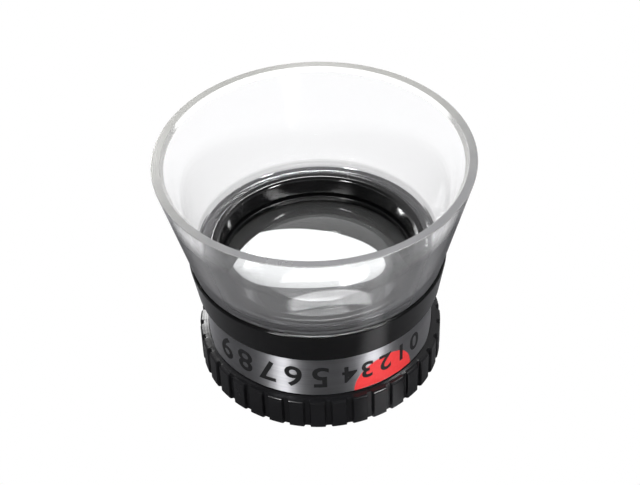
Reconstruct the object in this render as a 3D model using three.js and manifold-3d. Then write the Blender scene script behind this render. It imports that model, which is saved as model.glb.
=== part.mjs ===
// Watchmaker eye loupe: two lenses in a black barrel under a clear cup that is held in the eye socket.
// Millimetres, +Z up through the lenses towards the eye. The origin is the centre of the lower face,
// on which the loupe stands, and the label faces -Y.

import * as THREE from 'three';
import { mergeVertices } from 'three/addons/utils/BufferGeometryUtils.js';
import Module from 'manifold-3d';

const wasm = await Module();
wasm.setup();

// Lenses. The radii of the two spheres set the power: together the lenses have a focal length near 16 mm
const LENS_RADIUS = 12.0;
const LENS_CLEARANCE = 0.1;
const EYE_LENS_UPPER_SPHERE = 24.0;
const EYE_LENS_LOWER_SPHERE = 32.0;
const EYE_LENS_RIM = 1.2;
const OBJECTIVE_SPHERE = 18.1;
const OBJECTIVE_RIM = 1.0;
const LENS_AIR_GAP = 0.7;

// Small axial play left between pieces that rest on each other
const SEAT_GAP = 0.1;

// Knurled ring, from its resting face up
const RING_FLOOR = 1.4;
const RING_EDGE_HEIGHT = 4.25;
const RING_TOP_RISE = 0.2;
const RING_WALL = 0.8;
const RING_EDGE_CHAMFER = 0.25;
const RING_LEAD_IN = 0.15;
const APERTURE_LIP = 1.4;
const APERTURE_FLARE = 0.8;
const APERTURE_LAND = 0.4;
const RIB_COUNT = 36;
const RIB_HEIGHT = 0.45;
const RIB_TIP_SHARE = 0.62;
const GROOVE_FLOOR_SHARE = 0.22;
const FIRST_RIB_DEGREES = -2.8;

// Thread between the knurled ring and the barrel, as plain cylinders with this clearance
const THREAD_CLEARANCE = 0.15;
const SPIGOT_WALL = 0.9;
const SPIGOT_CHAMFER = 0.25;
const SPIGOT_END_GAP = 0.3;

// Barrel. Its shoulder stops the eye lens, and the cup rests on the collar and in the seat inside it
const NECK_WALL = 1.25;
const COLLAR_STEP = 0.85;
const COLLAR_FLARE = 0.7;
const COLLAR_HEIGHT = 4.35;
const COLLAR_FOOT_ROUND = 0.25;
const COLLAR_EDGE_ROUND = 0.12;
const SHOULDER_LIP = 1.1;
const SHOULDER_THICKNESS = 0.6;
const SHOULDER_DEPTH = 1.8;
const UPPER_BORE_STEP = 1.0;

// Label foil on the neck
const LABEL_THICKNESS = 0.2;
const LABEL_GAP = 0.05;
const LABEL_MARGIN = 0.15;
const LABEL_HALF_SPAN_DEGREES = 79;
const LABEL_CORNER_SHARE = 0.8;

// Eye cup, from the flat that rests on the collar
const CUP_HEIGHT = 13.17;
const CUP_RIM_RADIUS = 18.0;
const CUP_RIM_WALL = 1.25;
const CUP_RIM_ROUND = 0.2;
const CUP_SETBACK = 0.05;
const CUP_EDGE_ROUND = 0.15;
const CUP_BASE_WALL = 1.2;
const CUP_SPIGOT_CLEARANCE = 0.1;
const CUP_SPIGOT_WALL = 0.55;
const CUP_SPIGOT_DEPTH = 0.8;
const CUP_FLOOR = 0.45;
const CUP_FLOOR_ROUND = 1.0;
const CUP_RECESS_DEPTH = 0.33;

// Threaded ring whose flange lies in the recess of the cup's floor and clamps it
const CUP_RING_WALL = 0.55;
const CUP_RING_FLANGE = 0.35;
const CUP_RING_FLANGE_THICKNESS = 0.6;
const CUP_RING_FLANGE_CLEARANCE = 0.1;
const CUP_RING_ROUND = 0.12;
const CUP_RING_CHAMFER = 0.3;

// Lens spacer with the stop that bounds the field, and the rubber ring under the objective
const SPACER_WALL = 0.75;
const SPACER_EDGE_CHAMFER = 0.2;
const STOP_DEPTH = 3.55;
const STOP_THICKNESS = 0.8;
const STOP_EDGE = 0.3;
const CUSHION_INSET = 0.7;
const CUSHION_SECTION_RADIUS = 0.4;

// Facets
const OUTER_SEGMENTS = 64;
const INNER_SEGMENTS = 48;
const RING_SEGMENTS = 144;
const ROUND_STEPS = 3;
const SPHERE_STEPS = 6;
const CUSHION_SECTION_STEPS = 8;
const LABEL_COLUMNS = 72;
const RIB_TIP_STEPS = 3;
const CUT_OVERRUN = 1.0;

// Radii that follow from the lens
const apertureRadius = LENS_RADIUS - APERTURE_LIP;
const cushionRadius = LENS_RADIUS - CUSHION_INSET;
const spacerBoreRadius = LENS_RADIUS - SPACER_WALL;
const stopRadius = spacerBoreRadius - STOP_DEPTH;
const boreRadius = LENS_RADIUS + LENS_CLEARANCE;
const spigotRadius = boreRadius + SPIGOT_WALL;
const ringBoreRadius = spigotRadius + THREAD_CLEARANCE;
const ribRootRadius = ringBoreRadius + RING_WALL;
const ribTipRadius = ribRootRadius + RIB_HEIGHT;
const neckRadius = boreRadius + NECK_WALL;
const collarFootRadius = neckRadius + COLLAR_STEP;
const collarTopRadius = collarFootRadius + COLLAR_FLARE;
const shoulderRadius = boreRadius - SHOULDER_LIP;
const upperBoreRadius = shoulderRadius + UPPER_BORE_STEP;
const cupRingThreadRadius = upperBoreRadius - THREAD_CLEARANCE;
const cupRingBoreRadius = cupRingThreadRadius - CUP_RING_WALL;
const cupRingFlangeRadius = upperBoreRadius + CUP_RING_FLANGE;
const cupRecessRadius = cupRingFlangeRadius + CUP_RING_FLANGE_CLEARANCE;
const cupSpigotRadius = cupRecessRadius + CUP_SPIGOT_WALL;
const cupSeatRadius = cupSpigotRadius + CUP_SPIGOT_CLEARANCE;
const cupBaseRadius = collarTopRadius - CUP_SETBACK;

// Height between a sphere's circles of two radii
function rise(sphereRadius, fromRadius, toRadius) {
  return Math.sqrt(sphereRadius ** 2 - toRadius ** 2) - Math.sqrt(sphereRadius ** 2 - fromRadius ** 2);
}

// Heights of the lens stack, from the floor of the knurled ring up. The spacer's edges bear on both domes
const cushionZ = RING_FLOOR + SEAT_GAP + CUSHION_SECTION_RADIUS;
const objectiveZ = cushionZ + CUSHION_SECTION_RADIUS + SEAT_GAP;
const objectiveRimZ = objectiveZ + OBJECTIVE_RIM;
const objectiveTopZ = objectiveRimZ + rise(OBJECTIVE_SPHERE, LENS_RADIUS, 0);
const eyeLensBottomZ = objectiveTopZ + LENS_AIR_GAP;
const eyeLensFootZ = eyeLensBottomZ + rise(EYE_LENS_LOWER_SPHERE, LENS_RADIUS, 0);
const eyeLensRimZ = eyeLensFootZ + EYE_LENS_RIM;
const spacerFootZ = objectiveRimZ + SEAT_GAP + rise(OBJECTIVE_SPHERE, LENS_RADIUS, spacerBoreRadius);
const spacerTopZ = eyeLensFootZ - SEAT_GAP - rise(EYE_LENS_LOWER_SPHERE, LENS_RADIUS, spacerBoreRadius);
const stopZ = (objectiveTopZ + eyeLensBottomZ) / 2;

// Heights of the housing. The shoulder's inner edge meets the dome of the eye lens
const ringTopZ = RING_EDGE_HEIGHT + RING_TOP_RISE;
const spigotEndZ = RING_FLOOR + SPIGOT_END_GAP;
const neckFootZ = ringTopZ + SEAT_GAP;
const shoulderZ = eyeLensRimZ + SEAT_GAP + rise(EYE_LENS_UPPER_SPHERE, LENS_RADIUS, shoulderRadius);
const shoulderTopZ = shoulderZ + SHOULDER_THICKNESS;
const collarTopZ = shoulderTopZ + SHOULDER_DEPTH;
const collarFootZ = collarTopZ - COLLAR_HEIGHT;
const cupBaseZ = collarTopZ + SEAT_GAP;
const cupFootZ = cupBaseZ - CUP_SPIGOT_DEPTH;
const cupSeatZ = cupFootZ - SEAT_GAP;
const cupFloorZ = cupBaseZ + CUP_FLOOR;
const cupRecessZ = cupFloorZ - CUP_RECESS_DEPTH;
const cupRimZ = cupBaseZ + CUP_HEIGHT;

const blackGloss = new THREE.MeshStandardMaterial({ color: '#1b1a1c', roughness: 0.22, metalness: 0 });
const blackMatt = new THREE.MeshStandardMaterial({ color: '#161616', roughness: 0.75, metalness: 0 });
const clearAcrylic = new THREE.MeshStandardMaterial({
  color: '#e9edee', roughness: 0.05, metalness: 0, transparent: true, opacity: 0.25,
});
const lensGlass = new THREE.MeshStandardMaterial({
  color: '#eef3f2', roughness: 0.02, metalness: 0, transparent: true, opacity: 0.3,
});
const silverFoil = new THREE.MeshStandardMaterial({ color: '#b4b4b7', roughness: 0.35, metalness: 1 });
const rubber = new THREE.MeshStandardMaterial({ color: '#1d1d1d', roughness: 0.9, metalness: 0 });

// Corners are [radius, height, round], where round is how far from the corner its curve starts
function smoothCorners(corners) {
  return corners.flatMap(([r, z, round = 0], i) => {
    const corner = new THREE.Vector2(r, z);
    if (round === 0) {
      return [corner];
    }
    const [start, end] = [corners.at(i - 1), corners[(i + 1) % corners.length]].map(([nextR, nextZ]) => {
      const direction = new THREE.Vector2(nextR, nextZ).sub(corner).normalize();
      return corner.clone().addScaledVector(direction, round);
    });
    return new THREE.QuadraticBezierCurve(start, corner, end).getPoints(ROUND_STEPS);
  });
}

// Turns a section round the Z axis. The points run up the outside and down the inside
function revolve(points, segments) {
  const geometry = new THREE.LatheGeometry(points, segments);
  return geometry.rotateX(Math.PI / 2);
}

// A ring's section closes on itself
function revolveRing(corners, segments) {
  const points = smoothCorners(corners);
  return revolve([...points, points[0]], segments);
}

// Points of a sphere's cap from its edge to the axis, which rises when the side is 1 and sinks when it is -1
function cap(sphereRadius, edgeZ, side) {
  const edgeAngle = Math.asin(LENS_RADIUS / sphereRadius);
  const centreZ = edgeZ - side * sphereRadius * Math.cos(edgeAngle);
  return Array.from({ length: SPHERE_STEPS + 1 }, (_, step) => {
    const angle = edgeAngle * (1 - step / SPHERE_STEPS);
    const r = step === SPHERE_STEPS ? 0 : sphereRadius * Math.sin(angle);
    return new THREE.Vector2(r, centreZ + side * sphereRadius * Math.cos(angle));
  });
}

function toSolid(geometry) {
  const bare = geometry.clone();
  bare.deleteAttribute('normal');
  bare.deleteAttribute('uv');
  const merged = mergeVertices(bare);
  return new wasm.Manifold(new wasm.Mesh({
    numProp: 3,
    vertProperties: new Float32Array(merged.attributes.position.array),
    triVerts: new Uint32Array(merged.index.array),
  }));
}

function toGeometry(solid) {
  const mesh = solid.getMesh();
  const geometry = new THREE.BufferGeometry();
  geometry.setAttribute('position', new THREE.BufferAttribute(mesh.vertProperties, 3));
  geometry.setIndex(new THREE.BufferAttribute(mesh.triVerts, 1));
  geometry.computeVertexNormals();
  return geometry;
}

// Clear cone with a flat rim, a spigot in the barrel's seat, and a floor with a recess for the clamping ring
function eyeCup() {
  return revolveRing([
    [upperBoreRadius, cupFootZ],
    [cupSpigotRadius, cupFootZ],
    [cupSpigotRadius, cupBaseZ],
    [cupBaseRadius, cupBaseZ, CUP_EDGE_ROUND],
    [CUP_RIM_RADIUS, cupRimZ, CUP_RIM_ROUND],
    [CUP_RIM_RADIUS - CUP_RIM_WALL, cupRimZ, CUP_RIM_ROUND],
    [cupBaseRadius - CUP_BASE_WALL, cupFloorZ, CUP_FLOOR_ROUND],
    [cupRecessRadius, cupFloorZ],
    [cupRecessRadius, cupRecessZ],
    [upperBoreRadius, cupRecessZ],
  ], OUTER_SEGMENTS);
}

// Its thread goes through the floor of the cup into the barrel, and its flange holds the cup down
function cupRing() {
  const footZ = shoulderTopZ + SEAT_GAP;
  const flangeZ = cupRecessZ + SEAT_GAP;
  const topZ = flangeZ + CUP_RING_FLANGE_THICKNESS;
  return revolveRing([
    [cupRingBoreRadius + CUP_RING_CHAMFER, footZ],
    [cupRingThreadRadius, footZ],
    [cupRingThreadRadius, flangeZ],
    [cupRingFlangeRadius, flangeZ],
    [cupRingFlangeRadius, topZ, CUP_RING_ROUND],
    [cupRingBoreRadius + CUP_RING_CHAMFER, topZ],
    [cupRingBoreRadius, topZ - CUP_RING_CHAMFER],
    [cupRingBoreRadius, footZ + CUP_RING_CHAMFER],
  ], OUTER_SEGMENTS);
}

// Spigot, neck, flared collar with the seat of the cup, and the shoulder that the eye lens rests against
function barrel() {
  return revolveRing([
    [boreRadius, spigotEndZ],
    [spigotRadius - SPIGOT_CHAMFER, spigotEndZ],
    [spigotRadius, spigotEndZ + SPIGOT_CHAMFER],
    [spigotRadius, neckFootZ],
    [neckRadius, neckFootZ],
    [neckRadius, collarFootZ],
    [collarFootRadius, collarFootZ, COLLAR_FOOT_ROUND],
    [collarTopRadius, collarTopZ, COLLAR_EDGE_ROUND],
    [cupSeatRadius, collarTopZ],
    [cupSeatRadius, cupSeatZ],
    [upperBoreRadius, cupSeatZ],
    [upperBoreRadius, shoulderTopZ],
    [shoulderRadius, shoulderTopZ],
    [shoulderRadius, shoulderZ],
    [boreRadius, shoulderZ],
  ], OUTER_SEGMENTS);
}

// A thin plate with rounded corners, bent round the neck
function labelBand() {
  const middleRadius = neckRadius + LABEL_GAP + LABEL_THICKNESS / 2;
  const halfLength = middleRadius * THREE.MathUtils.degToRad(LABEL_HALF_SPAN_DEGREES);
  const height = collarFootZ - neckFootZ - 2 * LABEL_MARGIN;
  const middleZ = (neckFootZ + collarFootZ) / 2;
  const cornerRadius = (LABEL_CORNER_SHARE * height) / 2;
  const geometry = new THREE.BoxGeometry(2 * halfLength, height, LABEL_THICKNESS, LABEL_COLUMNS);
  const position = geometry.attributes.position;
  for (let i = 0; i < position.count; i += 1) {
    const along = position.getX(i);
    const intoCorner = Math.max(0, Math.abs(along) - (halfLength - cornerRadius));
    const cornerDrop = cornerRadius - Math.sqrt(Math.max(0, cornerRadius ** 2 - intoCorner ** 2));
    const z = middleZ + Math.sign(position.getY(i)) * (height / 2 - cornerDrop);
    const r = middleRadius + position.getZ(i);
    const angle = along / middleRadius;
    position.setXYZ(i, r * Math.sin(angle), -r * Math.cos(angle), z);
  }
  return geometry;
}

// Domed on both sides, the steeper side towards the eye
function eyeLens() {
  return revolve([
    ...cap(EYE_LENS_LOWER_SPHERE, eyeLensFootZ, -1).reverse(),
    ...cap(EYE_LENS_UPPER_SPHERE, eyeLensRimZ, 1),
  ], INNER_SEGMENTS);
}

// Flat towards the work and domed towards the eye lens
function objectiveLens() {
  return revolve([
    new THREE.Vector2(0, objectiveZ),
    new THREE.Vector2(LENS_RADIUS, objectiveZ),
    ...cap(OBJECTIVE_SPHERE, objectiveRimZ, 1),
  ], INNER_SEGMENTS);
}

// Tube whose inner edges bear on the domes of the two lenses, with a stop that runs out to a thin edge
function lensSpacer() {
  return revolveRing([
    [spacerBoreRadius, spacerFootZ],
    [LENS_RADIUS - SPACER_EDGE_CHAMFER, spacerFootZ],
    [LENS_RADIUS, spacerFootZ + SPACER_EDGE_CHAMFER],
    [LENS_RADIUS, spacerTopZ - SPACER_EDGE_CHAMFER],
    [LENS_RADIUS - SPACER_EDGE_CHAMFER, spacerTopZ],
    [spacerBoreRadius, spacerTopZ],
    [spacerBoreRadius, stopZ + STOP_THICKNESS / 2],
    [stopRadius, stopZ + STOP_EDGE / 2],
    [stopRadius, stopZ - STOP_EDGE / 2],
    [spacerBoreRadius, stopZ - STOP_THICKNESS / 2],
  ], INNER_SEGMENTS);
}

// Rubber ring of round section, between the floor of the knurled ring and the objective
function lensCushion() {
  const section = Array.from({ length: CUSHION_SECTION_STEPS + 1 }, (_, step) => {
    const angle = (2 * Math.PI * (step % CUSHION_SECTION_STEPS)) / CUSHION_SECTION_STEPS;
    return new THREE.Vector2(
      cushionRadius + CUSHION_SECTION_RADIUS * Math.cos(angle),
      cushionZ + CUSHION_SECTION_RADIUS * Math.sin(angle),
    );
  });
  return revolve(section, INNER_SEGMENTS);
}

// Outline of the ribs, seen from above: broad flat tips between narrow grooves with sloping sides
function ribOutline() {
  const pitch = (2 * Math.PI) / RIB_COUNT;
  const firstRib = THREE.MathUtils.degToRad(FIRST_RIB_DEGREES) - Math.PI / 2;
  const outline = new THREE.Shape();
  const place = (r, angle) => new THREE.Vector2(r * Math.cos(angle), r * Math.sin(angle));
  const points = Array.from({ length: RIB_COUNT }, (_, rib) => {
    const middle = firstRib + rib * pitch;
    const tip = Array.from({ length: RIB_TIP_STEPS + 1 }, (_, step) => {
      return place(ribTipRadius, middle + pitch * RIB_TIP_SHARE * (step / RIB_TIP_STEPS - 1 / 2));
    });
    const groove = [-1, 1].map((side) => {
      return place(ribRootRadius, middle + (pitch * (1 + side * GROOVE_FLOOR_SHARE)) / 2);
    });
    return [...tip, ...groove];
  });
  return outline.setFromPoints(points.flat());
}

// Ribbed cap with a threaded bore, a floor with a flared aperture, and edges turned off at both ends
function knurledRing() {
  const ribs = new THREE.ExtrudeGeometry(ribOutline(), { depth: ringTopZ, bevelEnabled: false });
  const envelope = revolve(smoothCorners([
    [0, 0],
    [ribTipRadius - RING_EDGE_CHAMFER, 0],
    [ribTipRadius + CUT_OVERRUN, RING_EDGE_CHAMFER + CUT_OVERRUN],
    [ribTipRadius + CUT_OVERRUN, RING_EDGE_HEIGHT - RING_EDGE_CHAMFER - CUT_OVERRUN],
    [ribTipRadius - RING_EDGE_CHAMFER, RING_EDGE_HEIGHT],
    [ringBoreRadius, ringTopZ],
    [0, ringTopZ],
  ]), RING_SEGMENTS);
  const bore = revolve(smoothCorners([
    [0, -CUT_OVERRUN],
    [apertureRadius + APERTURE_FLARE, -CUT_OVERRUN],
    [apertureRadius + APERTURE_FLARE, 0],
    [apertureRadius, RING_FLOOR - APERTURE_LAND],
    [apertureRadius, RING_FLOOR],
    [ringBoreRadius, RING_FLOOR],
    [ringBoreRadius, ringTopZ - RING_LEAD_IN],
    [ringBoreRadius + RING_LEAD_IN, ringTopZ],
    [ringBoreRadius + RING_LEAD_IN, ringTopZ + CUT_OVERRUN],
    [0, ringTopZ + CUT_OVERRUN],
  ]), OUTER_SEGMENTS);
  return toGeometry(toSolid(ribs).intersect(toSolid(envelope)).subtract(toSolid(bore)));
}

function named(name, geometry, material) {
  const mesh = new THREE.Mesh(geometry, material);
  mesh.name = name;
  return mesh;
}

const housing = new THREE.Group().add(
  named('barrel', barrel(), blackGloss),
  named('label_band', labelBand(), silverFoil),
  named('eye_cup', eyeCup(), clearAcrylic),
  named('cup_ring', cupRing(), blackGloss),
);
const lensStack = new THREE.Group().add(
  named('eye_lens', eyeLens(), lensGlass),
  named('lens_spacer', lensSpacer(), blackMatt),
  named('objective_lens', objectiveLens(), lensGlass),
  named('lens_cushion', lensCushion(), rubber),
);
const lowerEnd = new THREE.Group().add(named('knurled_ring', knurledRing(), blackGloss));

const group = new THREE.Group().add(housing, lensStack, lowerEnd);

export default group;
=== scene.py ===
# %% [markdown]
# # A watchmaker's eye loupe
#
# This lesson dresses a small magnifier that a watchmaker holds in the eye socket. A clear acrylic cup
# stands on a black barrel, two glass lenses lie inside, and a ribbed ring at the foot unscrews to let
# them out. The measured model is loaded first, and everything that follows is built round it, in metres,
# in the same place. Run the cells in order: each one makes a piece or a finish and prints what it made.

# %% Load the measured frame
import math

import bmesh
import bpy
from mathutils import Matrix, Vector


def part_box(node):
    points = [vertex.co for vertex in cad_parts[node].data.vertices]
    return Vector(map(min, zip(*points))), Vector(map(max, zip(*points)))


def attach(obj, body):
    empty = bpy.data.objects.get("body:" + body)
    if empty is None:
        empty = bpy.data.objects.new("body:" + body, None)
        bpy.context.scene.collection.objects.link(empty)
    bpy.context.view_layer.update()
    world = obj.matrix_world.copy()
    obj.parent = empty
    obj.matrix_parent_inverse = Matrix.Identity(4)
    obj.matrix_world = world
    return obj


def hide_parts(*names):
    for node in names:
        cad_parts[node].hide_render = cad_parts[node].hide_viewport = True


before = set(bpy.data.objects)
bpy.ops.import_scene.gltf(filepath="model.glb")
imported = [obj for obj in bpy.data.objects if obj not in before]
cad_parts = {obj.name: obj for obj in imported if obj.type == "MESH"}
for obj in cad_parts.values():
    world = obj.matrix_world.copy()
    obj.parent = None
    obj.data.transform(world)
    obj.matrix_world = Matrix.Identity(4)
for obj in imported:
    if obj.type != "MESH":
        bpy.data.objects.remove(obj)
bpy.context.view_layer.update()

scene = bpy.context.scene
MM = 0.001
print("nodes in the frame:", ", ".join(sorted(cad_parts)))

# %% [markdown]
# ## Four helpers
#
# Colours are written as the hex values that a paint program shows. Blender's shaders want linear light,
# so `linear` turns the first into the second. `add_node` adds a node to a tree with its settings and its
# links, which keeps every material below short. `start_material` makes a material and sets the sockets
# that are the same all over it. `place_mm` gives a material's point in millimetres, with its distance
# from the axis, its angle round it, its x and its height, because nearly all marks on turned and moulded
# round pieces run round the axis or along it.


# %% Colour, node, material and place
def linear(hex_colour, alpha=1.0):
    parts = [int(hex_colour[i:i + 2], 16) / 255 for i in (1, 3, 5)]
    return [c / 12.92 if c <= 0.04045 else ((c + 0.055) / 1.055) ** 2.4 for c in parts] + [alpha]


def add_node(tree, kind, wires=None, **settings):
    node = tree.nodes.new(kind)
    for name, value in settings.items():
        setattr(node, name, value)
    for name, value in (wires or {}).items():
        if isinstance(value, bpy.types.NodeSocket):
            tree.links.new(value, node.inputs[name])
        else:
            node.inputs[name].default_value = value
    return node


def start_material(name, **sockets):
    material = bpy.data.materials.new(name)
    material.use_nodes = True
    shader = material.node_tree.nodes["Principled BSDF"]
    for socket, value in sockets.items():
        shader.inputs[socket.replace("_", " ")].default_value = value
    return material, material.node_tree, shader


def place_mm(tree):
    point = add_node(tree, "ShaderNodeTexCoord").outputs["Object"]
    scaled = add_node(tree, "ShaderNodeVectorMath", {
        0: point, 1: (1 / MM,) * 3}, operation="MULTIPLY").outputs[0]
    split = add_node(tree, "ShaderNodeSeparateXYZ", {0: scaled}).outputs
    flat = add_node(tree, "ShaderNodeVectorMath", {0: scaled, 1: (1, 1, 0)}, operation="MULTIPLY").outputs[0]
    radius = add_node(tree, "ShaderNodeVectorMath", {0: flat}, operation="LENGTH").outputs["Value"]
    angle = add_node(tree, "ShaderNodeMath", {0: split["X"], 1: split["Y"]}, operation="ARCTAN2").outputs[0]
    return {"point": scaled, "radius": radius, "angle": angle, "x": split["X"], "height": split["Z"]}


print("helpers ready")

# %% [markdown]
# ## Camera
#
# The photograph looks down on the loupe at about 45 degrees from some 190 mm away. Circles drawn on the
# rim, the collar and the ribbed ring fix the camera closely: its height, its distance and a tilt of two
# degrees to one side. The lens follows from the width of the picture in pixels.

# %% Camera at the photograph's place
FRAME_WIDTH_PX = 640
SENSOR_WIDTH = 36
CAMERA_DISTANCE = 190.1
CAMERA_ELEVATION = math.radians(45.33)
CAMERA_ROLL = math.radians(-2.12)
CAMERA_FOCUS_PX = 1555.7
CAMERA_TARGET = Vector((0.31, 0, 15.78))

camera_place = Vector((0, -math.cos(CAMERA_ELEVATION), math.sin(CAMERA_ELEVATION))) * CAMERA_DISTANCE
ahead = (CAMERA_TARGET - camera_place).normalized()
level_right = ahead.cross(Vector((0, 0, 1))).normalized()
level_up = level_right.cross(ahead)
right = math.cos(CAMERA_ROLL) * level_right + math.sin(CAMERA_ROLL) * level_up
up = math.cos(CAMERA_ROLL) * level_up - math.sin(CAMERA_ROLL) * level_right
lens_data = bpy.data.cameras.new("camera")
lens_data.sensor_width = SENSOR_WIDTH
lens_data.lens = CAMERA_FOCUS_PX / FRAME_WIDTH_PX * SENSOR_WIDTH
lens_data.clip_start = MM
camera = bpy.data.objects.new("camera", lens_data)
scene.collection.objects.link(camera)
rows = [[*axes, place * MM] for axes, place in zip(zip(right, up, -ahead), camera_place)]
camera.matrix_world = Matrix(rows + [[0, 0, 0, 1]])
scene.camera = camera
scene.view_settings.view_transform = "Standard"
print("lens", round(lens_data.lens, 1), "mm")

# %% [markdown]
# ## Table
#
# The loupe stands on a white table. What the camera sees of the table, directly or through clear plastic,
# is plain white, so the shader mixes in an even white there with Light Path. Under the lenses that white
# is a painted patch of light that stops at a straight back edge, with painted shade of the barrel behind
# it: the lenses bend it into the bright window that shows in them. Reflections see the grey paper instead,
# with the loupe's shadow painted on it as a grade that is darker towards the front, so black plastic stays
# black. A painted soft streak of light lies on the paper at the front right and gives the round collar its
# upright highlight. Distances on the table are in millimetres, and each direction says along which line
# they are counted.

# %% Table top
FLOOR_HALF = 1.5  # in metres, so that the table reaches past every view
SHADOW_GRADE_WAY = (-0.35, 1.0, 0.0)
SHADOW_GRADE_FRONT, SHADOW_GRADE_BACK = 1.0, 18.0
STREAK_WAY = (0.58, 0.815, 0.0)
STREAK_MIDDLE = -6.2
STREAK_CORE, STREAK_HALF = 1.0, 4.6
STREAK_LEFT, STREAK_FULL = 3.0, 6.0
PATCH_WAY = (0.28, 1.0, 0.0)
PATCH_EDGE = 9.1
PATCH_BLUR = 0.03
PATCH_LIGHT = 1.2
SHADE_RADIUS = 12.0
SHADE = 0.06

floor_mesh = bpy.data.meshes.new("table_top")
corners = [(x * FLOOR_HALF, y * FLOOR_HALF, 0) for x, y in ((-1, -1), (1, -1), (1, 1), (-1, 1))]
floor_mesh.from_pydata(corners, [], [(0, 1, 2, 3)])
floor = bpy.data.objects.new("table_top", floor_mesh)
scene.collection.objects.link(floor)
table_paper, tree, shader = start_material("table_paper_painted_light_and_shade", Roughness=0.85)
floor_mesh.materials.append(table_paper)
place = place_mm(tree)

# Painted shadow: the paper is darker towards the front, where the loupe's shadow falls.
back = add_node(tree, "ShaderNodeVectorMath", {0: place["point"], 1: SHADOW_GRADE_WAY}, operation="DOT_PRODUCT")
shadow_grade = add_node(tree, "ShaderNodeMapRange", {
    0: back.outputs["Value"], 1: SHADOW_GRADE_FRONT, 2: SHADOW_GRADE_BACK}).outputs[0]
shaded_paper = add_node(tree, "ShaderNodeMix", {
    0: shadow_grade, 6: linear("#555557"), 7: linear("#757577")}, data_type="RGBA")
# Painted light: a soft streak on the paper at the front right, where light comes through the cup.
across = add_node(tree, "ShaderNodeVectorMath", {0: place["point"], 1: STREAK_WAY}, operation="DOT_PRODUCT")
off = add_node(tree, "ShaderNodeMath", {
    0: across.outputs["Value"], 1: STREAK_MIDDLE}, operation="SUBTRACT").outputs[0]
away = add_node(tree, "ShaderNodeMath", {0: off}, operation="ABSOLUTE").outputs[0]
band = add_node(tree, "ShaderNodeMapRange", {
    0: away, 1: STREAK_CORE, 2: STREAK_HALF, 3: 1.0, 4: 0.0}, interpolation_type="SMOOTHSTEP").outputs[0]
right_part = add_node(tree, "ShaderNodeMapRange", {0: place["x"], 1: STREAK_LEFT, 2: STREAK_FULL}).outputs[0]
streak = add_node(tree, "ShaderNodeMath", {0: band, 1: right_part}, operation="MULTIPLY").outputs[0]
lit_paper = add_node(tree, "ShaderNodeMix", {
    0: streak, 6: shaded_paper.outputs[2], 7: linear("#cacacc")}, data_type="RGBA")
tree.links.new(lit_paper.outputs[2], shader.inputs["Base Color"])

# Painted light and shade: under the lenses, a patch of light with a straight back edge and painted shade
# behind it, out to SHADE_RADIUS.
reach = add_node(tree, "ShaderNodeVectorMath", {0: place["point"], 1: PATCH_WAY}, operation="DOT_PRODUCT")
patch = add_node(tree, "ShaderNodeMapRange", {
    0: reach.outputs["Value"], 1: PATCH_EDGE - PATCH_BLUR, 2: PATCH_EDGE + PATCH_BLUR,
    3: PATCH_LIGHT, 4: SHADE})
beyond = add_node(tree, "ShaderNodeMath", {
    0: place["radius"], 1: SHADE_RADIUS}, operation="GREATER_THAN").outputs[0]
bright = add_node(tree, "ShaderNodeMix", {0: beyond, 2: patch.outputs[0], 3: 1.0}).outputs[0]
white = add_node(tree, "ShaderNodeEmission", {"Color": linear("#ffffff"), "Strength": bright}).outputs[0]
path = add_node(tree, "ShaderNodeLightPath").outputs
seen = {0: path["Is Camera Ray"], 1: path["Is Transmission Ray"]}
in_view = add_node(tree, "ShaderNodeMath", seen, operation="MAXIMUM").outputs[0]
mixed = add_node(tree, "ShaderNodeMixShader", {0: in_view, 1: shader.outputs[0], 2: white}).outputs[0]
tree.links.new(mixed, tree.nodes["Material Output"].inputs["Surface"])
print("table", 2 * FLOOR_HALF, "m wide")

# %% [markdown]
# ## Room
#
# The world is the room. To the camera it is as white as the table, so the two have no edge between them.
# It lights the loupe evenly and weakly. Gloss and glass see a room that is bright at the back and dim in
# front, which draws the pale line along the back of every ring, and through glass the lowest part of the
# room is white again, because there it stands in for the table's far end.

# %% World
WORLD_LIGHT = 0.25
FRONT_SHINE, BACK_SHINE = 0.12, 0.6
FRONT_END, BACK_START = -0.3, 0.75
HORIZON, HORIZON_FADE = 0.25, 0.5

world = bpy.data.worlds.new("studio")
scene.world = world
world.use_nodes = True
tree = world.node_tree
room = tree.nodes["Background"]
room.inputs["Color"].default_value = linear("#ffffff")
room.inputs["Strength"].default_value = WORLD_LIGHT
direction = add_node(tree, "ShaderNodeTexCoord").outputs["Generated"]
ways = add_node(tree, "ShaderNodeSeparateXYZ", {0: direction}).outputs
path = add_node(tree, "ShaderNodeLightPath").outputs

shine = add_node(tree, "ShaderNodeMapRange", {
    0: ways["Y"], 1: FRONT_END, 2: BACK_START, 3: FRONT_SHINE, 4: BACK_SHINE},
    interpolation_type="SMOOTHSTEP")
graded = add_node(tree, "ShaderNodeBackground", {
    "Color": linear("#ffffff"), "Strength": shine.outputs[0]}).outputs[0]
shiny = {0: path["Is Glossy Ray"], 1: path["Is Transmission Ray"]}
reflected = add_node(tree, "ShaderNodeMath", shiny, operation="MAXIMUM").outputs[0]
lit = add_node(tree, "ShaderNodeMixShader", {0: reflected, 1: room.outputs[0], 2: graded}).outputs[0]

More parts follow.
